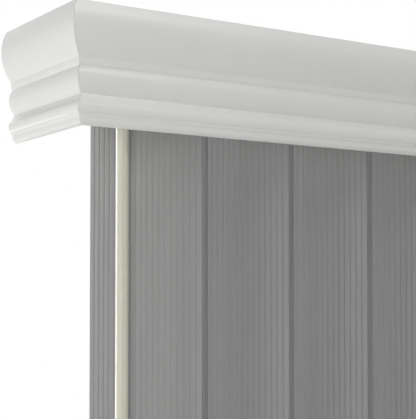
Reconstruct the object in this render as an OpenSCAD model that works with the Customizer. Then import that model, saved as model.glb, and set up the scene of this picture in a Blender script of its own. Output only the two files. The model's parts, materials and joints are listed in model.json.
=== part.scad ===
// Vertical blind with a moulded valance, curved ribbed vanes and a wand.
// Millimetres, Z up, the room is on the -Y side and the wall is the plane y = 0.
// The origin is the centre of the four wall screw holes.

/* [Vanes] */
// distance between neighbouring vane stems along the rail
vane_pitch = 75; // [72:0.5:78]
// width of one vane measured along its curve
vane_width = 89; // [84:1:90]
// length of one vane from its top edge to its bottom edge
vane_length = 800; // [500:10:1500]
// angle between a vane and the wall at rest
rest_angle = 54.7; // [40:0.1:70]
// angle of the vane's curve from its middle to one edge
vane_half_arc = 14; // [10:0.5:15]
// thickness of a vane in the grooves between its ribs
vane_thickness = 0.9; // [0.7:0.1:1.1]
// height of the ribs on the room side of a vane
rib_height = 0.35; // [0.2:0.05:0.4]
// number of ribs across one vane
rib_count = 20; // [16:1:24]
// width of the punched slot the vane hangs from
slot_width = 12; // [9:0.5:16]
// height of the punched slot the vane hangs from
slot_height = 4; // [3.5:0.1:5]
// distance from the vane's top edge to the top of its slot
slot_drop = 5; // [4:0.5:7]

/* [Valance] */
// height of the valance moulding
valance_height = 79.5; // [76:0.5:84]
// height of the valance's top edge above the wall screw centre
valance_top = 28; // [26:0.5:30]
// distance from the wall to the front reference edge of the valance
return_depth = 113; // [111:0.5:117]
// distance from the outermost stem to the side reference edge of the valance
side_margin = 82.3; // [80:0.1:90]
// distance of the moulding's back face behind its reference edge
valance_back = 9; // [8.8:0.1:9.4]
// outward bulge of the moulding's large upper round
crown_bulge = 5.6; // [4.6:0.1:6.2]
// outward bulge of the moulding's middle round
middle_bulge = 3.3; // [2.5:0.1:3.8]
// gap left open in each mitred corner
mitre_gap = 0.1; // [0.06:0.02:0.2]
// gap between a valance return and the wall
wall_gap = 0.5; // [0.3:0.1:2]
// leg length of a corner key behind the valance
key_leg = 18; // [14:1:24]
// thickness of a corner key
key_thickness = 2; // [1.5:0.1:3]

/* [Headrail] */
// outside width of the headrail
rail_width = 40; // [40:0.5:42]
// outside height of the headrail
rail_height = 28; // [27:0.5:29]
// wall thickness of the headrail
rail_wall = 1.4; // [1.2:0.1:1.6]
// width of the slot along the underside of the headrail
rail_slot = 16; // [15:0.5:18]
// height of the headrail's underside relative to the wall screw centre
rail_bottom = -9.5; // [-10:0.1:-9]
// distance from the wall to the line of stems
stem_to_wall = 53; // [51:0.2:54]
// open space between each rail end cap and the valance return
rail_end_gap = 5; // [3:0.5:12]
// thickness of the plate of a rail end cap
cap_plate = 2; // [1.5:0.1:3]
// length of an end cap's plug inside the rail
cap_plug = 6; // [4:0.5:8]

/* [Wall brackets] */
// distance between the two wall brackets
bracket_spacing = 460; // [400:10:500]
// distance between the two screw holes of one bracket
screw_rise = 18; // [16:0.5:20]
// radius of the wall screw holes
screw_hole_r = 2.2; // [1.8:0.1:2.6]
// width of a wall bracket
bracket_width = 30; // [24:1:40]
// thickness of the bracket and rail clip metal
bracket_metal = 1.8; // [1.5:0.1:2]
// radius of the bolt that joins bracket and rail clip
bolt_r = 2; // [1.6:0.1:2.5]
// width of a rail clip
clip_width = 20; // [16:1:26]

/* [Carriers] */
// length of one carrier along the rail
carrier_length = 14; // [13:0.5:14]
// gap between a carrier and the inside of the rail
glide_gap = 0.2; // [0.1:0.05:0.3]
// radius of the stem's shaft
stem_r = 3.5; // [3:0.1:3.8]
// radial gap of shafts that turn in bores
running_gap = 0.05; // [0.03:0.01:0.08]
// tip radius of the wheel on a stem
wheel_r = 6.5; // [6:0.1:6.6]
// tip radius of the worm on the tilt rod
worm_r = 3.7; // [3.5:0.1:4]
// gap between worm and wheel tips
mesh_gap = 0.3; // [0.25:0.05:0.5]
// distance across the flats of the tilt rod
rod_flats = 3.2; // [3:0.1:3.4]
// thickness of one spacer strip
strip_thickness = 0.5; // [0.4:0.05:0.6]
// height step from one spacer strip to the next
strip_step = 1; // [0.95:0.05:1.05]

/* [Wand] */
// tooth size of the gears in the lead carrier
gear_module = 1.2; // [1.18:0.01:1.22]
// play of a gear tooth, taken off each flank
tooth_play = 0.06; // [0.04:0.01:0.1]
// distance of the wand to the left of the first stem
wand_offset = 36.5; // [36:0.5:44]
// radius of the wand's ball joint
ball_r = 3.4; // [3.2:0.1:3.6]
// outer radius of the wand's socket
socket_r = 5; // [4.8:0.1:5.2]
// distance from the wand's centre to a corner of its eight sides
wand_r = 4.3; // [3.8:0.1:4.6]
// angle the wand's eight sides are turned by at rest
wand_turn = 12.4; // [0:0.1:45]
// length of the wand below its socket
wand_length = 520; // [300:10:900]
// length of the grip at the wand's lower end
grip_length = 90; // [60:5:120]
// radius of the grip
grip_r = 6; // [5:0.1:7]

/* [Hidden] */
vane_count = 8;
eps = 0.01;
half_width = (vane_count - 1) / 2 * vane_pitch + side_margin;
front_y = -return_depth;
stem_y = -stem_to_wall;
inner_x = half_width - valance_back;
inner_y = front_y + valance_back;
function stem_x(i) = -(vane_count - 1) / 2 * vane_pitch + (i - 1) * vane_pitch;

// rail
rail_top = rail_bottom + rail_height;
rail_half = inner_x - rail_end_gap - cap_plate;
rail_front = stem_y - rail_width / 2;
rail_back = stem_y + rail_width / 2;
track_z = rail_bottom + rail_wall;

// carriers, with their heights measured from the track
block_z = track_z + glide_gap;
block_half = rail_width / 2 - rail_wall - glide_gap;
block_height = 18;
block_top = block_z + block_height;
rod_y = stem_y + wheel_r + worm_r + mesh_gap;
rod_z = block_z + 9.9;
rod_r = rod_flats / 2 / cos(30);
wheel_half = 3;
pocket_z = rod_z - wheel_half - running_gap * 2;
window_front = 1.2;
window_w = block_half - window_front - wheel_r - 1.1;
window_y = stem_y - block_half + window_front + window_w / 2;
window_z = block_z + 8.1;
window_h = 8.2;
function strip_z(i) = window_z + 0.6 + (i - 1) * strip_step;
neck_w = 6;
head_w = window_w - 0.6;
head_l = 2;
hook_gap = 0.1;

// vane and stem clip
arc_r = (vane_width / 2) / (vane_half_arc * PI / 180);
clip_gap = vane_thickness + rib_height + 0.3;
clip_top = rail_bottom - 3;
vane_top = clip_top - 10.5;
slot_top = vane_top - slot_drop;
nub_r = 1.5;
prong = 1.6;
prong_w = 8;
prong_bottom = slot_top - slot_height - 3;

// lead carrier and its gear case
lead_x = stem_x(1) - wand_offset;
lead_left = lead_x - 8;
lead_right = stem_x(1) - carrier_length / 2 - hook_gap - head_l - 0.2;
pin_teeth = 12;
idler_teeth = 19;
gear_step = (pin_teeth + idler_teeth) * gear_module / 2;
idler_y = stem_y - gear_step;
wand_y = stem_y - 2 * gear_step;
case_top = rail_bottom - bracket_metal - 0.4;
case_lid = 1.5;
gear_h = 6;
gear_top = case_top - case_lid - 0.2;
case_floor = gear_top - gear_h - 0.2;
cover_h = 1.5;
case_wall = 1.3;
tip_gap = 0.4;
shaft_r = 3;
pinion_r = (rod_y - stem_y - mesh_gap) / 2;
ball_z = case_floor - cover_h - 9.5;
socket_gap = 0.1;
socket_top = ball_z + 2.1;
socket_bottom = ball_z - 14.5;
spigot_r = 2.6;
grip_top = socket_bottom - wand_length + grip_length;

// points of a circular arc from a to b whose middle stands s to the left, b left out
function arc_pts(a, b, s, n) =
    let (l = norm(b - a), u = (b - a) / l, v = [-u[1], u[0]], h = 2 * atan(2 * s / l))
    [for (i = [0 : n - 1]) let (t = -1 + 2 * i / n)
        (a + b) / 2 + u * (l / 2 * sin(h * t) / sin(h))
        + v * (l / 2 * (cos(h * t) - cos(h)) / sin(h))];

// outline of the valance moulding, outward and up from its top reference edge
function mould(x, drop) = [x, -drop * valance_height];
crown_end = mould(-3.6, 0.449);
step_end = mould(-4, 0.502);
first_notch = mould(-4.8, 0.517);
second_notch = mould(-6.5, 0.743);
bead_top = mould(-2.5, 0.824);
bead_end = mould(-2.9, 0.893);
fillet_top = mould(-3.8, 0.903);
fillet_end = mould(-5.1, 0.931);
lip_end = mould(-5.2, 0.968);
lip_under = mould(0.3 - valance_back, 1);
moulding = concat(
    arc_pts([0, 0], crown_end, crown_bulge, 14),
    arc_pts(crown_end, step_end, 0.15, 3),
    [step_end],
    arc_pts(first_notch, second_notch, middle_bulge, 10),
    arc_pts(second_notch, bead_top, -0.4, 4),
    arc_pts(bead_top, bead_end, 0.6, 5),
    [bead_end],
    arc_pts(fillet_top, fillet_end, 0.4, 4),
    [fillet_end],
    arc_pts(lip_end, lip_under, 0.6, 5),
    [[-valance_back, -valance_height], [-valance_back, 0]]);

// outline of one vane, its middle at the stem axis and its round side to the room
function rib_rise(s) = s == 0 ? 0 : s == 1 || s == 5 ? 0.75 : s == 3 ? 0.85 : 1;
function on_arc(a, r) = [r * sin(a), arc_r - r * cos(a)];
rib_side = [for (k = [0 : rib_count - 1], s = [0 : 5])
    on_arc(-vane_half_arc + 2 * vane_half_arc * (k + [0, 0.1, 0.2, 0.5, 0.8, 0.92][s]) / rib_count,
        arc_r + vane_thickness / 2 + rib_height * rib_rise(s))];
wall_side = [for (k = [24 : -1 : 0])
    on_arc(-vane_half_arc + 2 * vane_half_arc * k / 24, arc_r - vane_thickness / 2)];
vane_outline = concat(rib_side, [on_arc(vane_half_arc, arc_r + vane_thickness / 2)], wall_side);

// outline of a gear with involute teeth, one tooth pointing along the given angle
pressure = 25;
function inv_deg(a) = tan(a) * 180 / PI - a;
function polar(r, a) = [r * cos(a), r * sin(a)];
function flank(r, rb, ht) = ht + inv_deg(pressure) - inv_deg(acos(min(1, rb / r)));
function gear_outline(n, turn) =
    let (rp = gear_module * n / 2, rb = rp * cos(pressure), ra = rp + 0.9 * gear_module,
        rr = rp - 1.15 * gear_module, r0 = max(rb, rr),
        ht = 90 / n - tooth_play / rp * 180 / PI)
    [for (k = [0 : n - 1]) let (c = turn + k * 360 / n) each concat(
        [polar(rr, c - flank(r0, rb, ht))],
        [for (j = [0 : 5]) let (r = r0 + (ra - r0) * j / 5) polar(r, c - flank(r, rb, ht))],
        [for (j = [5 : -1 : 0]) let (r = r0 + (ra - r0) * j / 5) polar(r, c + flank(r, rb, ht))],
        [polar(rr, c + flank(r0, rb, ht))])];
function tip_r(n) = gear_module * n / 2 + 0.9 * gear_module;

// box from its low corner to its high corner
module box(a, b) {
    translate(a) cube(b - a);
}

// upright cylinder between two heights
module post(x, y, z0, z1, r, n = 48) {
    translate([x, y, z0]) cylinder(r = r, h = z1 - z0, $fn = n);
}

// cylinder along X between two places
module axle(x0, x1, y, z, r, n = 48) {
    translate([x0, y, z]) rotate([0, 90, 0]) cylinder(r = r, h = x1 - x0, $fn = n);
}

// six-sided bar along X
module hex_bar(x0, x1, flats) {
    translate([x0, rod_y, rod_z]) rotate([0, 90, 0])
        cylinder(r = flats / 2 / cos(30), h = x1 - x0, $fn = 6);
}

module headrail() {
    color([0.9, 0.9, 0.88])
    difference() {
        box([-rail_half, rail_front, rail_bottom], [rail_half, rail_back, rail_top]);
        box([-rail_half - 1, rail_front + rail_wall, track_z],
            [rail_half + 1, rail_back - rail_wall, rail_top - rail_wall]);
        box([-rail_half - 1, stem_y - rail_slot / 2, rail_bottom - 1],
            [rail_half + 1, stem_y + rail_slot / 2, track_z + 1]);
    }
}

// cap for the rail end on one side, side is -1 or 1
module end_cap(side) {
    color([0.88, 0.88, 0.86])
    difference() {
        union() {
            translate([side * (rail_half + cap_plate / 2), stem_y, (rail_bottom + rail_top) / 2])
                cube([cap_plate, rail_width, rail_height], center = true);
            translate([side * (rail_half - cap_plug / 2), stem_y, (track_z + rail_top - rail_wall) / 2])
                cube([cap_plug + eps, rail_width - 2 * rail_wall, rail_height - 2 * rail_wall],
                    center = true);
        }
        axle(side > 0 ? rail_half - cap_plug - 1 : -rail_half - cap_plate + 0.6,
            side > 0 ? rail_half + cap_plate - 0.6 : -rail_half + cap_plug + 1,
            rod_y, rod_z, rod_flats / 2 + running_gap);
    }
}

module tilt_rod() {
    color([0.72, 0.73, 0.74]) {
        hex_bar(-rail_half + cap_plug + 0.5, rail_half - cap_plug - 0.5, rod_flats);
        axle(-rail_half - cap_plate + 0.8, -rail_half + cap_plug + 0.5 + eps, rod_y, rod_z, rod_flats / 2);
        axle(rail_half - cap_plug - 0.5 - eps, rail_half + cap_plate - 0.8, rod_y, rod_z, rod_flats / 2);
    }
}

module valance_front() {
    g = mitre_gap / 2 * sqrt(2);
    color([0.93, 0.93, 0.91])
    intersection() {
        translate([-half_width - 15, front_y, valance_top]) rotate([90, 0, 90])
            linear_extrude(2 * half_width + 30)
                polygon([for (p = moulding) [-p[0], p[1]]]);
        translate([0, 0, valance_top - valance_height - 1]) linear_extrude(valance_height + 2)
            polygon([[-half_width - 12 + g, front_y - 12], [half_width + 12 - g, front_y - 12],
                [half_width - 12 - g, front_y + 12], [-half_width + 12 + g, front_y + 12]]);
    }
}

// return on one side, side is -1 or 1
module valance_return(side) {
    g = mitre_gap / 2 * sqrt(2);
    color([0.93, 0.93, 0.91])
    intersection() {
        translate([side * half_width, -wall_gap, valance_top]) rotate([90, 0, 0])
            linear_extrude(return_depth + 15 - wall_gap)
                polygon([for (p = moulding) [side * p[0], p[1]]]);
        translate([0, 0, valance_top - valance_height - 1]) linear_extrude(valance_height + 2)
            polygon([[side * (half_width + 12), front_y - 12 + g],
                [side * (half_width - 12), front_y + 12 + g],
                [side * (half_width - 12), 1], [side * (half_width + 12), 1]]);
    }
}

module valance_corner_keys() {
    color([0.86, 0.86, 0.84])
    for (side = [-1, 1])
        translate([0, 0, valance_top - valance_height * 0.75]) linear_extrude(valance_height * 0.6)
            polygon([[side * inner_x, inner_y], [side * inner_x, inner_y + key_leg],
                [side * (inner_x - key_thickness), inner_y + key_leg],
                [side * (inner_x - key_thickness), inner_y + key_thickness],
                [side * (inner_x - key_leg), inner_y + key_thickness],
                [side * (inner_x - key_leg), inner_y]]);
}

module valance_clips() {
    color([0.8, 0.81, 0.82])
    for (x = [-0.35, 0, 0.35] * rail_half)
        translate([x - clip_width / 2, 0, 0]) rotate([90, 0, 90]) linear_extrude(clip_width)
            polygon([[inner_y, rail_top - 12], [inner_y, valance_top - 2],
                [inner_y + 1.2, valance_top - 2], [inner_y + 1.2, rail_top + 1.2],
                [stem_y, rail_top + 1.2], [stem_y, rail_top], [inner_y + 1.2, rail_top],
                [inner_y + 1.2, rail_top - 12]]);
}

module wall_brackets() {
    z0 = rail_top + bracket_metal;
    color([0.8, 0.81, 0.82])
    for (x = [-1, 1] * bracket_spacing / 2)
        difference() {
            union() {
                box([x - bracket_width / 2, -bracket_metal, -screw_rise / 2 - 6],
                    [x + bracket_width / 2, 0, z0 + bracket_metal]);
                box([x - bracket_width / 2, stem_y - 10, z0],
                    [x + bracket_width / 2, -eps, z0 + bracket_metal]);
            }
            for (z = [-1, 1] * screw_rise / 2)
                translate([x, 1, z]) rotate([90, 0, 0])
                    cylinder(r = screw_hole_r, h = bracket_metal + 2, $fn = 48);
            post(x, stem_y, z0 - 1, z0 + bracket_metal + 1, bolt_r);
        }
}

module rail_clips() {
    m = bracket_metal;
    color([0.78, 0.79, 0.8])
    for (x = [-1, 1] * bracket_spacing / 2)
        difference() {
            union() {
                box([x - clip_width / 2, rail_front - m, rail_top],
                    [x + clip_width / 2, rail_back + m, rail_top + m]);
                for (s = [-1, 1]) {
                    box([x - clip_width / 2, s > 0 ? rail_back : rail_front - m, rail_bottom - m],
                        [x + clip_width / 2, s > 0 ? rail_back + m : rail_front, rail_top + m]);
                    box([x - clip_width / 2, s > 0 ? rail_back - 5 : rail_front - m, rail_bottom - m],
                        [x + clip_width / 2, s > 0 ? rail_back + m : rail_front + 5, rail_bottom]);
                }
            }
            post(x, stem_y, rail_top - 1, rail_top + m + 1, bolt_r);
        }
}

module bracket_bolts() {
    z1 = rail_top + 2 * bracket_metal;
    color([0.7, 0.7, 0.72])
    for (x = [-1, 1] * bracket_spacing / 2) {
        post(x, stem_y, rail_top + 0.1, z1 + 1, bolt_r - 0.05);
        difference() {
            post(x, stem_y, z1, z1 + 2.2, bolt_r * 1.8);
            box([x - bolt_r * 2, stem_y - 0.4, z1 + 1.4], [x + bolt_r * 2, stem_y + 0.4, z1 + 3]);
        }
    }
}

// block that glides in the rail, from x0 to x1, with the window for the spacer strips
module glide_block(x0, x1) {
    difference() {
        box([x0, stem_y - block_half, block_z], [x1, stem_y + block_half, block_top]);
        box([x0 - 1, window_y - window_w / 2, window_z],
            [x1 + 1, window_y + window_w / 2, window_z + window_h]);
        axle(x0 - 1, x1 + 1, rod_y, rod_z, rod_r + 0.4);
    }
}

module carrier(i) {
    x = stem_x(i);
    color([0.9, 0.9, 0.87]) {
        difference() {
            glide_block(x - carrier_length / 2, x + carrier_length / 2);
            post(x, stem_y, block_z - 1, block_top + 1, stem_r + running_gap);
            post(x, stem_y, pocket_z, block_top + 1, wheel_r + 0.3);
            box([x - carrier_length / 2 + 2, rod_y - worm_r - 0.3, rod_z - worm_r - 0.3],
                [x + carrier_length / 2 - 2, rod_y + worm_r + 0.3, block_top + 1]);
        }
        // stops that hold the head of this carrier's own strip
        if (i < vane_count)
            for (s = [-1, 1])
                box([x - carrier_length / 2, window_y + (s < 0 ? -window_w / 2 - eps : neck_w / 2 + 0.3),
                        strip_z(i)],
                    [x + carrier_length / 2, window_y + (s < 0 ? -neck_w / 2 - 0.3 : window_w / 2 + eps),
                        strip_z(i) + strip_thickness]);
    }
}

// strip from carrier i + 1 that stops against the left face of carrier i
module spacer(i) {
    x0 = stem_x(i) - carrier_length / 2 - hook_gap;
    x1 = stem_x(i + 1);
    color([0.82, 0.83, 0.84])
    translate([0, 0, strip_z(i)]) linear_extrude(strip_thickness)
        polygon([[x0 - head_l, window_y - head_w / 2], [x0, window_y - head_w / 2],
            [x0, window_y - neck_w / 2], [x1 - carrier_length / 2, window_y - neck_w / 2],
            [x1 - carrier_length / 2, window_y - window_w / 2],
            [x1 + carrier_length / 2, window_y - window_w / 2],
            [x1 + carrier_length / 2, window_y + window_w / 2],
            [x1 - carrier_length / 2, window_y + window_w / 2],
            [x1 - carrier_length / 2, window_y + neck_w / 2], [x0, window_y + neck_w / 2],
            [x0, window_y + head_w / 2], [x0 - head_l, window_y + head_w / 2]]);
}

module worm(i) {
    half = carrier_length / 2 - 2 - 0.2;
    color([0.75, 0.75, 0.73])
    difference() {
        translate([stem_x(i) - half, rod_y, rod_z]) rotate([0, 90, 0]) rotate_extrude($fn = 48)
            polygon(concat([[0, 0], [worm_r - 0.6, 0]],
                [for (k = [0 : 3], q = [[0.3, -0.6], [0.5, 0], [0.9, 0], [1.1, -0.6]])
                    [worm_r + q[1], half + (k - 2) * 1.6 + q[0]]],
                [[worm_r - 0.6, 2 * half], [0, 2 * half]]));
        hex_bar(stem_x(i) - half - 1, stem_x(i) + half + 1, rod_flats + 2 * running_gap);
    }
}

// teeth of the stem wheel
wheel_teeth = 14;
wheel_outline = [for (k = [0 : wheel_teeth - 1], q = [[-0.36, -1], [-0.18, 0], [0.18, 0], [0.36, -1]])
    polar(wheel_r + q[1], (k + q[0]) * 360 / wheel_teeth)];

module stem(i) {
    color([0.93, 0.93, 0.9])
    translate([stem_x(i), stem_y, 0]) rotate([0, 0, -rest_angle]) {
        translate([0, 0, rod_z - wheel_half]) linear_extrude(2 * wheel_half) polygon(wheel_outline);
        post(0, 0, clip_top - 1, rod_z, stem_r);
        post(0, 0, vane_top + 1, clip_top, stem_r + 1);
        for (s = [-1, 1])
            translate([0, (s > 0 ? clip_gap / 2 : -clip_gap / 2 - prong) - rib_height / 2, 0])
                box([-prong_w / 2, 0, prong_bottom], [prong_w / 2, prong, vane_top + 1 + eps]);
        translate([0, clip_gap / 2 - rib_height / 2 + eps, slot_top - nub_r]) rotate([90, 0, 0])
            cylinder(r = nub_r, h = clip_gap - 0.1, $fn = 32);
    }
}

module vane(i) {
    color([0.53, 0.53, 0.53])
    translate([stem_x(i), stem_y, 0]) rotate([0, 0, -rest_angle])
    difference() {
        translate([0, 0, vane_top - vane_length]) linear_extrude(vane_length) polygon(vane_outline);
        box([-slot_width / 2, -5, slot_top - slot_height], [slot_width / 2, 5, slot_top]);
    }
}

// rounds of the gear case, grown outward by a wall
module case_rounds(z0, z1, grow) {
    post(lead_x, stem_y, z0, z1, tip_r(pin_teeth) + tip_gap + grow, 64);
    post(lead_x, idler_y, z0, z1, tip_r(idler_teeth) + tip_gap + grow, 64);
    post(lead_x, wand_y, z0, z1, tip_r(pin_teeth) + tip_gap + grow, 64);
}

module lead_carrier() {
    color([0.9, 0.9, 0.87])
    difference() {
        union() {
            difference() {
                glide_block(lead_left, lead_right);
                post(lead_x, stem_y, pocket_z, block_top + 1, pinion_r + 0.4);
                box([lead_x - pinion_r - 0.5, rod_y - pinion_r - 0.4, rod_z - pinion_r - 0.4],
                    [lead_x + pinion_r + 0.5, rod_y + pinion_r + 0.4, block_top + 1]);
            }
            box([lead_left + 1, stem_y - rail_slot / 2 + 0.4, case_top - eps],
                [lead_right - 12, stem_y + rail_slot / 2 - 0.4, block_z + eps]);
            difference() {
                case_rounds(case_floor, case_top, case_wall);
                case_rounds(case_floor - 1, case_top - case_lid, 0);
            }
            post(lead_x, idler_y, case_floor, case_top - eps, shaft_r);
            // tongue that pushes on the first carrier
            box([lead_right - 1, stem_y + block_half - 3, block_z],
                [stem_x(1) - carrier_length / 2, stem_y + block_half, block_z + 5]);
        }
        post(lead_x, stem_y, case_top - 3, block_top + 1, shaft_r + running_gap);
        post(lead_x, wand_y, case_top - case_lid - 1, case_top - 0.4, shaft_r + running_gap);
    }
}

module gear_case_cover() {
    color([0.88, 0.88, 0.85])
    difference() {
        case_rounds(case_floor - cover_h, case_floor, case_wall);
        post(lead_x, stem_y, case_floor - cover_h + 0.4, case_floor + 1, shaft_r + running_gap);
        post(lead_x, wand_y, case_floor - cover_h - 1, case_floor + 1, shaft_r + running_gap);
    }
}

module drive_pinion() {
    half = pinion_r;
    color([0.75, 0.75, 0.73])
    difference() {
        axle(lead_x - half, lead_x + half, rod_y, rod_z, pinion_r);
        hex_bar(lead_x - half - 1, lead_x + half + 1, rod_flats + 2 * running_gap);
    }
}

module drive_shaft() {
    color([0.78, 0.78, 0.76]) {
        post(lead_x, stem_y, rod_z - wheel_half, rod_z + wheel_half, pinion_r);
        post(lead_x, stem_y, case_floor - cover_h + 0.5, rod_z, shaft_r);
        translate([lead_x, stem_y, gear_top - gear_h]) linear_extrude(gear_h)
            polygon(gear_outline(pin_teeth, -90));
    }
}

module idler_gear() {
    color([0.75, 0.75, 0.73])
    difference() {
        translate([lead_x, idler_y, gear_top - gear_h]) linear_extrude(gear_h)
            polygon(gear_outline(idler_teeth, 90 + 180 / idler_teeth));
        post(lead_x, idler_y, gear_top - gear_h - 1, gear_top + 1, shaft_r + running_gap);
    }
}

module wand_spindle() {
    color([0.86, 0.85, 0.8]) {
        translate([lead_x, wand_y, gear_top - gear_h]) linear_extrude(gear_h)
            polygon(gear_outline(pin_teeth, 90 + 180 / pin_teeth));
        post(lead_x, wand_y, case_floor - cover_h - 3, case_top - 0.5, shaft_r);
        post(lead_x, wand_y, ball_z, case_floor - cover_h - 2.5, shaft_r - 1.1);
        translate([lead_x, wand_y, ball_z]) sphere(r = ball_r, $fn = 48);
    }
}

module wand_socket() {
    color([0.86, 0.85, 0.78])
    difference() {
        post(lead_x, wand_y, socket_bottom, socket_top, socket_r);
        translate([lead_x, wand_y, ball_z]) sphere(r = ball_r + socket_gap, $fn = 48);
        post(lead_x, wand_y, ball_z, socket_top + 1, shaft_r - 0.2);
        post(lead_x, wand_y, socket_bottom - 1, socket_bottom + 10.2, spigot_r + running_gap);
    }
}

// eight-sided bar on the wand's axis
module eight_sided(z0, z1) {
    translate([lead_x, wand_y, z0]) rotate([0, 0, wand_turn]) cylinder(r = wand_r, h = z1 - z0, $fn = 8);
}

module wand_shaft() {
    color([0.86, 0.85, 0.78]) {
        post(lead_x, wand_y, socket_bottom - 0.1 - eps, socket_bottom + 10, spigot_r);
        eight_sided(grip_top - 20, socket_bottom - 0.1);
    }
}

module wand_grip() {
    color([0.84, 0.83, 0.76])
    difference() {
        translate([lead_x, wand_y, grip_top - grip_length]) rotate_extrude($fn = 48)
            polygon(concat([[0, 0]],
                [for (a = [0 : 15 : 90]) [grip_r - 2 + 2 * sin(a), 2 - 2 * cos(a)]],
                [for (a = [0 : 15 : 90]) [grip_r - 2 + 2 * cos(a), grip_length - 2 + 2 * sin(a)]],
                [[0, grip_length]]));
        eight_sided(grip_top - 20, grip_top + 1);
    }
}

headrail();
end_cap(-1);  // end_cap_left
end_cap(1);  // end_cap_right
tilt_rod();
valance_front();
valance_return(-1);  // valance_return_left
valance_return(1);  // valance_return_right
valance_corner_keys();
valance_clips();
wall_brackets();
rail_clips();
bracket_bolts();
lead_carrier();
gear_case_cover();
drive_pinion();
drive_shaft();
idler_gear();
wand_spindle();
wand_socket();
wand_shaft();
wand_grip();
carrier(1);  // carrier_1
carrier(2);  // carrier_2
carrier(3);  // carrier_3
carrier(4);  // carrier_4
carrier(5);  // carrier_5
carrier(6);  // carrier_6
carrier(7);  // carrier_7
carrier(8);  // carrier_8
stem(1);  // stem_1
stem(2);  // stem_2
stem(3);  // stem_3
stem(4);  // stem_4
stem(5);  // stem_5
stem(6);  // stem_6
stem(7);  // stem_7
stem(8);  // stem_8
vane(1);  // vane_1
vane(2);  // vane_2
vane(3);  // vane_3
vane(4);  // vane_4
vane(5);  // vane_5
vane(6);  // vane_6
vane(7);  // vane_7
vane(8);  // vane_8
worm(1);  // worm_1
worm(2);  // worm_2
worm(3);  // worm_3
worm(4);  // worm_4
worm(5);  // worm_5
worm(6);  // worm_6
worm(7);  // worm_7
worm(8);  // worm_8
spacer(1);  // spacer_1
spacer(2);  // spacer_2
spacer(3);  // spacer_3
spacer(4);  // spacer_4
spacer(5);  // spacer_5
spacer(6);  // spacer_6
spacer(7);  // spacer_7
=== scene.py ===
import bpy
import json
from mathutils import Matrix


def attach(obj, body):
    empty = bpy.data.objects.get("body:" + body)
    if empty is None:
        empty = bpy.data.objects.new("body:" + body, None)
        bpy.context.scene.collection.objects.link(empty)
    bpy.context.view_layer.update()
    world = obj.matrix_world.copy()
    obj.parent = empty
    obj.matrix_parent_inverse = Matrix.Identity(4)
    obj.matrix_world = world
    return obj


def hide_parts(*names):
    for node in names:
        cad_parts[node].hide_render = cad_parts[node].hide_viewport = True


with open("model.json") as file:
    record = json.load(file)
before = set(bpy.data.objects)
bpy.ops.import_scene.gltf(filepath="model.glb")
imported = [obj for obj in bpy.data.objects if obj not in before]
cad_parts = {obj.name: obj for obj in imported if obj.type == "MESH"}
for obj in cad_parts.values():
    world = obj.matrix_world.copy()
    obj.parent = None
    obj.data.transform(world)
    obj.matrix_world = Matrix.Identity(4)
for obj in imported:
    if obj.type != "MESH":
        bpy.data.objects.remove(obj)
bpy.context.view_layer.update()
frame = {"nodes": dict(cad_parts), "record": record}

import json
import math
import bpy
import bmesh
from mathutils import Vector

MM = 0.001
scene = bpy.context.scene
scene.view_settings.view_transform = "Standard"
MATERIAL_SLOT = {row["node"]: row["material_slot"] for row in frame["record"]["subparts"]}
BODY = {node: body for body, nodes in frame["record"]["behaviour"]["bodies"].items() for node in nodes}

# Sizes of the blind, the same as those of the solids, in millimetres and radians

# row of vanes: the first stem is at the left, all hang in one plane off the wall, and x = 0 is the middle
VANES = 8
PITCH = 75.0
FIRST_STEM_X = -PITCH * (VANES - 1) / 2
STEM_Y = -53.0
REST_TURN = math.radians(54.7)

# one vane: a thin ribbed sheet that is bent to an arc, with a slot near its top
VANE_WIDTH = 89.0
VANE_LENGTH = 800.0
VANE_TOP = -23.0
VANE_LOW = VANE_TOP - VANE_LENGTH
SHEET = 0.9
RIB = 0.35
RIBS = 20
HALF_ARC = math.radians(14.0)
ARC_RADIUS = VANE_WIDTH / 2 / HALF_ARC
SLOT_WIDTH = 12.0
SLOT_HEIGHT = 4.0
SLOT_DROP = 5.0
SLOT_MIDDLE = VANE_TOP - SLOT_DROP - SLOT_HEIGHT / 2

# valance: the front reaches END_MARGIN past the outer stems, and the returns run back to the wall
END_MARGIN = 82.3
HALF_FRONT = -FIRST_STEM_X + END_MARGIN
RETURN_DEPTH = 113.0
FRONT_Y = -RETURN_DEPTH
TOP_Z = 28.0
VALANCE_HEIGHT = 79.5
VALANCE_BACK = 9.0
LIP_FLAT = 0.3
WALL_GAP = 0.5
MITRE_GAP = 0.1
MITRE_SHIFT = MITRE_GAP / 2 * math.sqrt(2)

# wand: an eight-sided shaft between the socket above and the grip below
WAND_OFFSET = 36.5
WAND_X = FIRST_STEM_X - WAND_OFFSET
WAND_Y = -90.2
WAND_SIDES = 8
WAND_RADIUS = 4.3
WAND_TURN = math.radians(12.4)
WAND_LENGTH = 520.0
SOCKET_LOW = -45.1
SOCKET_GAP = 0.1
SPIGOT_RADIUS = 2.6
SPIGOT_LENGTH = 10.0
GRIP_LENGTH = 90.0
GRIP_RADIUS = 6.0
GRIP_OVERLAP = 20.0
GRIP_TOP = SOCKET_LOW - WAND_LENGTH + GRIP_LENGTH
SHAFT_TOP = SOCKET_LOW - SOCKET_GAP
SHAFT_LOW = GRIP_TOP - GRIP_OVERLAP

# Materials

EVEN = (1, 1, 1)
BLOTCH_DETAIL = 3.0
GRAIN_DETAIL = 2.0
NOISE_LOW = 0.3
NOISE_HIGH = 0.7
RELIEF = 0.2 * MM
GLOW_REACH = (0.004, 0.0035, 0.002)
GLOW_SCALE = 0.5


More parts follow.
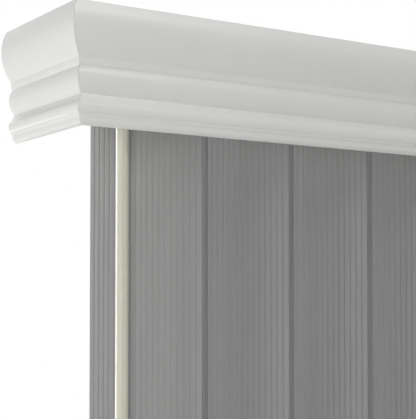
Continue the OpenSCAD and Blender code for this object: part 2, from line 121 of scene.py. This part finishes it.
def noise(tree, scale, stretch, detail):
    """Noise in the piece's own coordinates, so that it stays on the piece from every side."""
    place = tree.nodes.new("ShaderNodeTexCoord")
    mapping = tree.nodes.new("ShaderNodeMapping")
    mapping.inputs["Scale"].default_value = stretch
    texture = tree.nodes.new("ShaderNodeTexNoise")
    texture.inputs["Scale"].default_value = scale
    texture.inputs["Detail"].default_value = detail
    tree.links.new(place.outputs["Object"], mapping.inputs["Vector"])
    tree.links.new(mapping.outputs["Vector"], texture.inputs["Vector"])
    return texture.outputs[0]


def spread(tree, source, low, high):
    """The middle of a noise's range, stretched to run from low to high."""
    remap = tree.nodes.new("ShaderNodeMapRange")
    for key, value in (("From Min", NOISE_LOW), ("From Max", NOISE_HIGH), ("To Min", low), ("To Max", high)):
        remap.inputs[key].default_value = value
    tree.links.new(source, remap.inputs["Value"])
    return remap.outputs[0]


def two_tone(tree, share, dark, light):
    """A mix of two colours, which this node holds in inputs 6 and 7 and gives from output 2."""
    mix = tree.nodes.new("ShaderNodeMix")
    mix.data_type = "RGBA"
    mix.inputs[6].default_value = (*dark, 1)
    mix.inputs[7].default_value = (*light, 1)
    tree.links.new(share, mix.inputs[0])
    return mix.outputs[2]


def surface(name, dark, light, rough, blotch, grain, bump, stretch=EVEN, grain_stretch=EVEN,
            metal=0.0, specular=0.5, coat=0.0, glow=0.0):
    """A material with broad blotches in its colour, and a fine grain in its gloss and its relief."""
    material = bpy.data.materials.new(name)
    material.use_nodes = True
    tree = material.node_tree
    tree.nodes.clear()
    output = tree.nodes.new("ShaderNodeOutputMaterial")
    shader = tree.nodes.new("ShaderNodeBsdfPrincipled")
    tree.links.new(shader.outputs["BSDF"], output.inputs["Surface"])
    blotches = spread(tree, noise(tree, blotch, stretch, BLOTCH_DETAIL), 0.0, 1.0)
    tree.links.new(two_tone(tree, blotches, dark, light), shader.inputs["Base Color"])
    grains = noise(tree, grain, grain_stretch, GRAIN_DETAIL)
    tree.links.new(spread(tree, grains, *rough), shader.inputs["Roughness"])
    relief = tree.nodes.new("ShaderNodeBump")
    relief.inputs["Strength"].default_value = bump
    relief.inputs["Distance"].default_value = RELIEF
    tree.links.new(grains, relief.inputs["Height"])
    tree.links.new(relief.outputs["Normal"], shader.inputs["Normal"])
    shader.inputs["Metallic"].default_value = metal
    shader.inputs["Specular IOR Level"].default_value = specular
    shader.inputs["Coat Weight"].default_value = coat
    if glow:
        shader.inputs["Subsurface Weight"].default_value = glow
        shader.inputs["Subsurface Radius"].default_value = GLOW_REACH
        shader.inputs["Subsurface Scale"].default_value = GLOW_SCALE
    return material


MATERIALS = {
    # satin plastic, as on the valance
    "white_pvc": surface("white_pvc_satin", (0.80, 0.80, 0.775), (0.83, 0.83, 0.81), (0.30, 0.42),
                         blotch=9.0, grain=700.0, bump=0.04),
    # vanes, with faint drawing lines down their length
    "grey_pvc": surface("grey_pvc_ribbed", (0.296, 0.296, 0.294), (0.314, 0.314, 0.312), (0.40, 0.55),
                        blotch=14.0, grain=1400.0, bump=0.12, stretch=(6, 6, 0.25),
                        grain_stretch=(1, 1, 0.03), specular=0.4),
    # glossy plastic of the wand
    "ivory": surface("ivory_plastic", (0.62, 0.605, 0.49), (0.66, 0.645, 0.53), (0.26, 0.36),
                     blotch=20.0, grain=800.0, bump=0.03, stretch=(1, 1, 0.2), coat=0.6, glow=0.08),
    # enamelled sheet steel, with faint rolling lines along the rail
    "white_steel": surface("rail_enamel", (0.80, 0.80, 0.78), (0.84, 0.84, 0.82), (0.28, 0.40),
                           blotch=8.0, grain=1200.0, bump=0.12, grain_stretch=(0.03, 1, 1), coat=0.15),
    # moulded plastic with a little depth
    "nylon": surface("nylon", (0.78, 0.78, 0.74), (0.84, 0.84, 0.80), (0.35, 0.5),
                     blotch=30.0, grain=1500.0, bump=0.08, glow=0.05),
    # harder moulded plastic, a shade darker
    "acetal": surface("acetal", (0.56, 0.56, 0.54), (0.64, 0.64, 0.62), (0.3, 0.42),
                      blotch=40.0, grain=1800.0, bump=0.06),
    # zinc-plated sheet steel, brushed along the rail
    "steel": surface("zinc_steel", (0.45, 0.46, 0.47), (0.54, 0.55, 0.56), (0.28, 0.38),
                     blotch=60.0, grain=2600.0, bump=0.05, grain_stretch=(0.03, 1, 1), metal=1.0),
    # drawn aluminium, with lines along the rail
    "rod_alu": surface("drawn_aluminium", (0.70, 0.71, 0.73), (0.78, 0.79, 0.80), (0.22, 0.36),
                       blotch=40.0, grain=1500.0, bump=0.08, grain_stretch=(0.02, 1, 1), metal=1.0),
}
for node, piece in frame["nodes"].items():
    piece.data.materials.clear()
    piece.data.materials.append(MATERIALS[MATERIAL_SLOT[node]])

# Pieces drawn through rings of points


def shade(mesh, sharp):
    """Smooth shading, with the edges that bend by more than sharp degrees kept crisp."""
    work = bmesh.new()
    work.from_mesh(mesh)
    bmesh.ops.recalc_face_normals(work, faces=work.faces)
    for face in work.faces:
        face.smooth = True
    for edge in work.edges:
        if edge.calc_face_angle(0.0) > math.radians(sharp):
            edge.smooth = False
    work.to_mesh(mesh)
    work.free()


def loft(name, rings, node, sharp):
    """A closed piece through rings of points in millimetres, which stands for a node of the solids."""
    count = len(rings[0])
    last = len(rings) - 1
    faces = []
    for level in range(last):
        low = level * count
        high = low + count
        for here in range(count):
            after = (here + 1) % count
            faces.append((low + here, low + after, high + after, high + here))
    faces.append(tuple(range(count)))
    faces.append(tuple(last * count + here for here in range(count)))
    mesh = bpy.data.meshes.new(name)
    mesh.from_pydata([tuple(c * MM for c in point) for ring in rings for point in ring], [], faces)
    shade(mesh, sharp)
    piece = bpy.data.objects.new(name, mesh)
    scene.collection.objects.link(piece)
    mesh.materials.append(MATERIALS[MATERIAL_SLOT[node]])
    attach(piece, BODY[node])
    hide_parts(node)
    return piece


# Valance

# at its ends the moulding sinks by END_SINK over a short run, which eases the edges of the joints;
# what lies within BACK_ZONE of its back stays flat
END_SINK = 0.12
MITRE_RUN = 0.25
WALL_RUN = 0.2
BACK_ZONE = 1.0
VALANCE_SHARP = 22.0


def arc(start, end, rise, count):
    """Points on an arc from start up to, but without, end. It rises to the left of its chord."""
    chord = end - start
    half = chord.length / 2
    along = chord / chord.length
    across = Vector((-along.y, along.x))
    bend = 2 * math.atan(rise / half)
    points = []
    for k in range(count):
        turn = bend * (2 * k / count - 1)
        forward = half * math.sin(turn) / math.sin(bend)
        outward = half * (math.cos(turn) - math.cos(bend)) / math.sin(bend)
        points.append((start + end) / 2 + along * forward + across * outward)
    return points


def mould(out, drop):
    """A point of the moulding: millimetres out from its top edge, and share of its height down."""
    return Vector((out, -drop * VALANCE_HEIGHT))


CROWN_TOP = mould(0.0, 0.0)
CROWN_END = mould(-3.6, 0.449)
STEP_END = mould(-4.0, 0.502)
ROLL_TOP = mould(-4.8, 0.517)
ROLL_END = mould(-6.5, 0.743)
BEAD_TOP = mould(-2.5, 0.824)
BEAD_END = mould(-2.9, 0.893)
FILLET_TOP = mould(-3.8, 0.903)
FILLET_END = mould(-5.1, 0.931)
LIP_TOP = mould(-5.2, 0.968)
LIP_END = mould(LIP_FLAT - VALANCE_BACK, 1.0)
BACK_LOW = mould(-VALANCE_BACK, 1.0)
BACK_TOP = mould(-VALANCE_BACK, 0.0)
PROFILE = (arc(CROWN_TOP, CROWN_END, rise=5.6, count=42)
           + arc(CROWN_END, STEP_END, rise=0.15, count=9) + [STEP_END]
           + arc(ROLL_TOP, ROLL_END, rise=3.3, count=30)
           + arc(ROLL_END, BEAD_TOP, rise=-0.4, count=12)
           + arc(BEAD_TOP, BEAD_END, rise=0.6, count=15) + [BEAD_END]
           + arc(FILLET_TOP, FILLET_END, rise=0.4, count=8) + [FILLET_END]
           + arc(LIP_TOP, LIP_END, rise=0.6, count=15)
           + [BACK_LOW, BACK_TOP])


def sunk_profile(sink):
    """The moulding's outline with all of it but its back moved in by sink."""
    return [Vector((p.x - sink, p.y)) if p.x > BACK_ZONE - VALANCE_BACK else p for p in PROFILE]


def front_ring(side, short, sink):
    """Outline on the front's mitre at the left (-1) or right (1) end, or short of it along the front."""
    return [(side * (HALF_FRONT + p.x - MITRE_SHIFT - short), FRONT_Y - p.x, TOP_Z + p.y)
            for p in sunk_profile(sink)]


def mitre_ring(side, short, sink):
    """Outline on a return's mitre, or short of it along the return."""
    return [(side * (HALF_FRONT + p.x), FRONT_Y - p.x + MITRE_SHIFT + short, TOP_Z + p.y)
            for p in sunk_profile(sink)]


def wall_ring(side, y, sink):
    """Outline square across a return."""
    return [(side * (HALF_FRONT + p.x), y, TOP_Z + p.y) for p in sunk_profile(sink)]


loft("valance_front_moulding",
     [front_ring(-1, 0.0, END_SINK), front_ring(-1, MITRE_RUN, 0.0),
      front_ring(1, MITRE_RUN, 0.0), front_ring(1, 0.0, END_SINK)],
     "valance_front", VALANCE_SHARP)
for side, word in ((-1, "left"), (1, "right")):
    loft("valance_return_%s_moulding" % word,
         [mitre_ring(side, 0.0, END_SINK), mitre_ring(side, MITRE_RUN, 0.0),
          wall_ring(side, -WALL_GAP - WALL_RUN, 0.0), wall_ring(side, -WALL_GAP, END_SINK)],
         "valance_return_%s" % word, VALANCE_SHARP)

# Vanes

# one flank of a rib: share of the rib's width, and share of its height
RIB_FLANK = [(0.035, -0.08), (0.085, 0.45), (0.13, 0.85), (0.19, 1.0)]
SHOULDER = RIB_FLANK[-1][0]
# a whole rib: groove, flank, slightly hollow top, flank
RIB_SHAPE = ([(0.0, -0.18)] + RIB_FLANK + [(0.5, 0.9)]
             + [(1 - share, height) for share, height in reversed(RIB_FLANK)])
RIB_TOP = SHEET / 2 + RIB
UNDERSIDE = -SHEET / 2
# a long edge: share of a rib's width in from the end, and height off the middle of the sheet
EDGE_SHAPE = [(0.06, RIB_TOP), (0.02, RIB_TOP - 0.08), (0.0, RIB_TOP - 0.22),
              (0.0, UNDERSIDE + 0.16), (0.02, UNDERSIDE + 0.05), (0.06, UNDERSIDE)]
BACK_STEPS = 40
# heights of the rings of a vane; those near its ends and below its slot keep the shading even
END_RING = 0.4
SLOT_RING = 20.0
VANE_LEVELS = [VANE_LOW, VANE_LOW + END_RING, VANE_TOP - VANE_LENGTH / 2, VANE_TOP - SLOT_RING,
               VANE_TOP - END_RING, VANE_TOP]
VANE_SHARP = 60.0
CUTTER_DEPTH = 10.0
SLOT_ROUND = 1.2
SLOT_ROUND_STEPS = 4


def on_arc(angle, height):
    """A point on the vane's arc, height off the middle of the sheet."""
    radius = ARC_RADIUS + height
    return (radius * math.sin(angle), ARC_RADIUS - radius * math.cos(angle))


def vane_outline():
    """A vane's section seen from above: ribbed face, one long edge, plain back, other long edge."""
    step = 2 * HALF_ARC / RIBS
    points = []
    for rib in range(RIBS):
        for share, height in RIB_SHAPE:
            before_first = rib == 0 and share < SHOULDER
            after_last = rib == RIBS - 1 and share > 1 - SHOULDER
            if not (before_first or after_last):
                points.append(on_arc(-HALF_ARC + step * (rib + share), SHEET / 2 + RIB * height))
    for share, height in EDGE_SHAPE:
        points.append(on_arc(HALF_ARC - step * share, height))
    back_reach = HALF_ARC - step * EDGE_SHAPE[-1][0]
    for k in range(BACK_STEPS - 1, 0, -1):
        points.append(on_arc(back_reach * (2 * k / BACK_STEPS - 1), UNDERSIDE))
    for share, height in reversed(EDGE_SHAPE):
        points.append(on_arc(-HALF_ARC + step * share, height))
    return points


VANE_OUTLINE = vane_outline()


def vane_ring(stem_x, z):
    """The section of the vane that hangs at stem_x, turned to its angle at rest."""
    cosine = math.cos(REST_TURN)
    sine = math.sin(REST_TURN)
    return [(stem_x + x * cosine + y * sine, STEM_Y - x * sine + y * cosine, z) for x, y in VANE_OUTLINE]


def punch(vane, stem_x):
    """Cuts the hanging slot, with rounded corners, through the upper end of a vane."""
    bpy.ops.mesh.primitive_cube_add(size=1)
    cutter = bpy.context.object
    cutter.scale = (SLOT_WIDTH * MM, CUTTER_DEPTH * MM, SLOT_HEIGHT * MM)
    cutter.rotation_euler = (0, 0, -REST_TURN)
    cutter.location = (stem_x * MM, STEM_Y * MM, SLOT_MIDDLE * MM)
    bpy.ops.object.transform_apply(location=False, rotation=False, scale=True)
    rounding = cutter.modifiers.new("round", "BEVEL")
    rounding.width = SLOT_ROUND * MM
    rounding.segments = SLOT_ROUND_STEPS
    rounding.limit_method = "NONE"
    slot = vane.modifiers.new("slot", "BOOLEAN")
    slot.operation = "DIFFERENCE"
    slot.solver = "EXACT"
    slot.object = cutter
    bpy.context.view_layer.update()
    graph = bpy.context.evaluated_depsgraph_get()
    cut_mesh = bpy.data.meshes.new_from_object(vane.evaluated_get(graph))
    vane.modifiers.clear()
    vane.data = cut_mesh
    bpy.data.objects.remove(cutter)


for number in range(1, VANES + 1):
    stem_x = FIRST_STEM_X + PITCH * (number - 1)
    rings = [vane_ring(stem_x, z) for z in VANE_LEVELS]
    punch(loft("vane_%d_ribbed" % number, rings, "vane_%d" % number, VANE_SHARP), stem_x)

# Wand

CORNER_EASE = 0.35
CORNER_POINTS = 5
SHAFT_BEVEL = 0.4
SHAFT_SHARP = 40.0


def octagon(radius):
    """Points around the shaft, with its corners rounded off."""
    angles = [WAND_TURN + 2 * math.pi * k / WAND_SIDES for k in range(WAND_SIDES)]
    corners = [Vector((math.cos(a), math.sin(a))) * radius for a in angles]
    points = []
    for k, corner in enumerate(corners):
        before = (corners[k - 1] - corner).normalized() * CORNER_EASE
        after = (corners[(k + 1) % WAND_SIDES] - corner).normalized() * CORNER_EASE
        for t in [step / (CORNER_POINTS - 1) for step in range(CORNER_POINTS)]:
            points.append(corner + before * (1 - t) ** 2 + after * t ** 2)
    return points


def faceted_ring(z, radius):
    """A ring of the eight-sided shaft."""
    return [(WAND_X + p.x, WAND_Y + p.y, z) for p in octagon(radius)]


def round_ring(z, radius):
    """A ring of the round spigot, with as many points as the shaft's rings."""
    count = WAND_SIDES * CORNER_POINTS
    angles = [WAND_TURN + 2 * math.pi * (k - 1) / count for k in range(count)]
    return [(WAND_X + radius * math.cos(a), WAND_Y + radius * math.sin(a), z) for a in angles]


loft("wand_shaft_faceted",
     [faceted_ring(SHAFT_LOW, WAND_RADIUS), faceted_ring(SHAFT_TOP - SHAFT_BEVEL, WAND_RADIUS),
      faceted_ring(SHAFT_TOP, WAND_RADIUS - SHAFT_BEVEL), round_ring(SHAFT_TOP, SPIGOT_RADIUS),
      round_ring(SOCKET_LOW + SPIGOT_LENGTH, SPIGOT_RADIUS)],
     "wand_shaft", SHAFT_SHARP)

# Grip of the wand

FLUTES = 12
FLUTE_POINTS = 10
FLUTE_DEPTH = 0.5
FLUTE_START = 11.0
FLUTE_END = 77.0
FOOT_ROUND = 3.0
FOOT_STEPS = 8
GRIP_SHARP = 50.0
# rows down the grip: distance below its top, and radius
COLLAR = [(0.0, 4.0), (0.0, 5.0), (0.2, 5.35), (0.7, 5.55), (4.6, 5.6), (5.1, 5.45)]
NECK = [(5.4, 5.1), (6.2, 5.1), (6.5, 5.5), (7.1, 5.85), (8.0, GRIP_RADIUS)]
GROOVE = [(80.4, GRIP_RADIUS), (81.0, 5.85), (81.4, 5.6), (82.0, 5.6), (82.4, 5.85), (83.0, GRIP_RADIUS)]
FOOT = [(GRIP_LENGTH - FOOT_ROUND * (1 - math.sin(a)), GRIP_RADIUS - FOOT_ROUND * (1 - math.cos(a)))
        for a in [math.pi / 2 * k / FOOT_STEPS for k in range(FOOT_STEPS + 1)]]
# how a flute runs out at its ends: distance from the end, and share of its depth
RUN_OUT = [(0.0, 0.0), (0.8, 0.2), (2.0, 0.65), (3.6, 0.95), (5.0, 1.0)]


def grip_ring(drop, radius, share=0.0):
    """A ring of the grip, some way below its top, with a share of the flutes' depth cut into it."""
    count = FLUTES * FLUTE_POINTS
    ring = []
    for angle in [2 * math.pi * k / count for k in range(count)]:
        hollow = (0.5 - 0.5 * math.cos(FLUTES * angle)) ** 2
        reach = radius - FLUTE_DEPTH * share * hollow
        ring.append((WAND_X + reach * math.cos(angle), WAND_Y + reach * math.sin(angle), GRIP_TOP - drop))
    return ring


loft("wand_grip_fluted",
     [grip_ring(drop, radius) for drop, radius in COLLAR + NECK]
     + [grip_ring(FLUTE_START + run, GRIP_RADIUS, share) for run, share in RUN_OUT]
     + [grip_ring(FLUTE_END - run, GRIP_RADIUS, share) for run, share in reversed(RUN_OUT)]
     + [grip_ring(drop, radius) for drop, radius in GROOVE + FOOT],
     "wand_grip", GRIP_SHARP)

# Eased edges on pieces of folded metal or moulded plastic, in millimetres

EASED = {"headrail": 0.5, "end_cap_left": 0.4, "end_cap_right": 0.4, "wall_brackets": 0.3,
         "rail_clips": 0.25, "valance_clips": 0.25, "lead_carrier": 0.3, "gear_case_cover": 0.3,
         "bracket_bolts": 0.2}
EASED.update({"carrier_%d" % number: 0.3 for number in range(2, VANES + 1)})
EASE_ANGLE = math.radians(40.0)
EASE_STEPS = 2
WELD_REACH = 0.002

for node, width in EASED.items():
    weld = frame["nodes"][node].modifiers.new("weld", "WELD")
    weld.merge_threshold = WELD_REACH * MM
    bevel = frame["nodes"][node].modifiers.new("ease", "BEVEL")
    bevel.width = width * MM
    bevel.segments = EASE_STEPS
    bevel.limit_method = "ANGLE"
    bevel.angle_limit = EASE_ANGLE

# Studio light: name, place, point it is aimed at, width and height in metres, power in watts

LAMPS = [
    ("key", (-0.717, -0.741, -0.22), (-0.15, -0.06, -0.22), (0.05, 0.25), 1.66),
    ("key_low", (-0.717, -0.741, -0.45), (-0.15, -0.06, -0.30), (0.05, 0.25), 0.26),
    ("side", (-2.3192, 1.0456, 0.0), (-0.20, -0.08, -0.12), (0.5, 1.4), 18.8),
    ("side_back", (-2.048, 1.456, -0.12), (-0.20, -0.08, -0.12), (0.5, 1.4), 3.2),
    ("above", (0.45, -0.45, 2.2), (0.1, -0.1, 0.0), (1.2, 0.6), 14.5),
    ("above_front", (0.5, -1.6, 1.8), (0.05, -0.08, 0.0), (1.0, 0.8), 18.4),
    ("sheen", (-2.28, -0.379, -0.2), (-0.3, -0.09, -0.2), (0.5, 1.4), 3.2),
    ("rim", (-0.59, 1.89, -0.2), (-0.3, -0.09, -0.25), (0.6, 1.2), 2.7),
    ("front", (-0.9, -3.0, 0.3), (-0.1, -0.08, -0.1), (0.8, 1.2), 8.1),
    ("right", (2.4, 0.5, 0.2), (0.3, -0.06, -0.1), (1.0, 1.4), 15.0),
    ("back", (0.6, 2.6, 0.3), (0.0, -0.1, -0.2), (2.6, 2.0), 30.0),
]


def aim(thing, direction):
    """Turns a lamp or the camera to look along a direction, upright."""
    thing.rotation_euler = direction.to_track_quat("-Z", "Y").to_euler()


for name, place, target, size, power in LAMPS:
    light = bpy.data.lights.new(name, "AREA")
    light.shape = "RECTANGLE"
    light.size, light.size_y = size
    light.energy = power
    lamp = bpy.data.objects.new(name, light)
    lamp.location = place
    lamp.visible_camera = False
    aim(lamp, Vector(target) - Vector(place))
    scene.collection.objects.link(lamp)

# White background that is seen directly and in reflections, and sheds no other light


def sees_background(tree):
    """1 for a ray that comes from the camera, a reflection or a clear piece, and 0 for any other ray."""
    path = tree.nodes.new("ShaderNodeLightPath")
    seen = path.outputs["Is Camera Ray"]
    for ray in ("Is Glossy Ray", "Is Transmission Ray"):
        either = tree.nodes.new("ShaderNodeMath")
        either.operation = "MAXIMUM"
        tree.links.new(seen, either.inputs[0])
        tree.links.new(path.outputs[ray], either.inputs[1])
        seen = either.outputs[0]
    return seen


world = bpy.data.worlds.new("studio")
scene.world = world
world.use_nodes = True
world_tree = world.node_tree
world_tree.nodes.clear()
world_output = world_tree.nodes.new("ShaderNodeOutputWorld")
white = world_tree.nodes.new("ShaderNodeBackground")
white.inputs["Color"].default_value = (1, 1, 1, 1)
world_tree.links.new(sees_background(world_tree), white.inputs["Strength"])
world_tree.links.new(white.outputs["Background"], world_output.inputs["Surface"])

# Floor, a pale disc that fades into the background

FLOOR_Z = -0.86
FLOOR_RADIUS = 3.0
FLOOR_SIDES = 48
# distances from the middle between which the floor fades, and how white it looks there
FADE = {"From Min": 0.3, "From Max": 2.4, "To Min": 0.6, "To Max": 1.0}


def floor_surface():
    """A matt white that is mixed with the background's white where a ray sees the background."""
    material = surface("floor_white", (0.90, 0.90, 0.90), (0.92, 0.92, 0.92), (0.7, 0.8),
                       blotch=2.0, grain=200.0, bump=0.0)
    tree = material.node_tree
    place = tree.nodes.new("ShaderNodeTexCoord")
    flat = tree.nodes.new("ShaderNodeVectorMath")
    flat.operation = "MULTIPLY"
    flat.inputs[1].default_value = (1, 1, 0)
    tree.links.new(place.outputs["Object"], flat.inputs[0])
    distance = tree.nodes.new("ShaderNodeVectorMath")
    distance.operation = "LENGTH"
    tree.links.new(flat.outputs[0], distance.inputs[0])
    fade = tree.nodes.new("ShaderNodeMapRange")
    fade.interpolation_type = "SMOOTHSTEP"
    for key, value in FADE.items():
        fade.inputs[key].default_value = value
    tree.links.new(distance.outputs["Value"], fade.inputs["Value"])
    share = tree.nodes.new("ShaderNodeMath")
    share.operation = "MULTIPLY"
    tree.links.new(fade.outputs[0], share.inputs[0])
    tree.links.new(sees_background(tree), share.inputs[1])
    glow = tree.nodes.new("ShaderNodeEmission")
    blend = tree.nodes.new("ShaderNodeMixShader")
    output = next(node for node in tree.nodes if node.type == "OUTPUT_MATERIAL")
    shader = next(node for node in tree.nodes if node.type == "BSDF_PRINCIPLED")
    tree.links.new(share.outputs[0], blend.inputs[0])
    tree.links.new(shader.outputs["BSDF"], blend.inputs[1])
    tree.links.new(glow.outputs[0], blend.inputs[2])
    tree.links.new(blend.outputs[0], output.inputs["Surface"])
    return material


rim_angles = [2 * math.pi * k / FLOOR_SIDES for k in range(FLOOR_SIDES)]
rim_points = [(FLOOR_RADIUS * math.cos(a), FLOOR_RADIUS * math.sin(a), FLOOR_Z) for a in rim_angles]
floor_mesh = bpy.data.meshes.new("floor")
floor_mesh.from_pydata(rim_points, [], [tuple(range(FLOOR_SIDES))])
floor = bpy.data.objects.new("floor", floor_mesh)
scene.collection.objects.link(floor)
floor_mesh.materials.append(floor_surface())

# Camera, in metres, with the lens and the sensor in millimetres

LENS = 103.394
SENSOR = 36.0
SHIFT_UP = 0.12
NEAREST = 0.02
FARTHEST = 50.0
CAMERA_PLACE = (-0.68412, -0.79837, -0.17107)
YAW = math.radians(32.629)
TILT_UP = math.radians(2.416)

camera_data = bpy.data.cameras.new("camera")
camera_data.lens = LENS
camera_data.sensor_width = SENSOR
camera_data.shift_y = SHIFT_UP
camera_data.clip_start = NEAREST
camera_data.clip_end = FARTHEST
camera = bpy.data.objects.new("camera", camera_data)
camera.location = CAMERA_PLACE
level_look = Vector((math.sin(YAW), math.cos(YAW), 0))
aim(camera, level_look * math.cos(TILT_UP) + Vector((0, 0, math.sin(TILT_UP))))
scene.collection.objects.link(camera)
scene.camera = camera
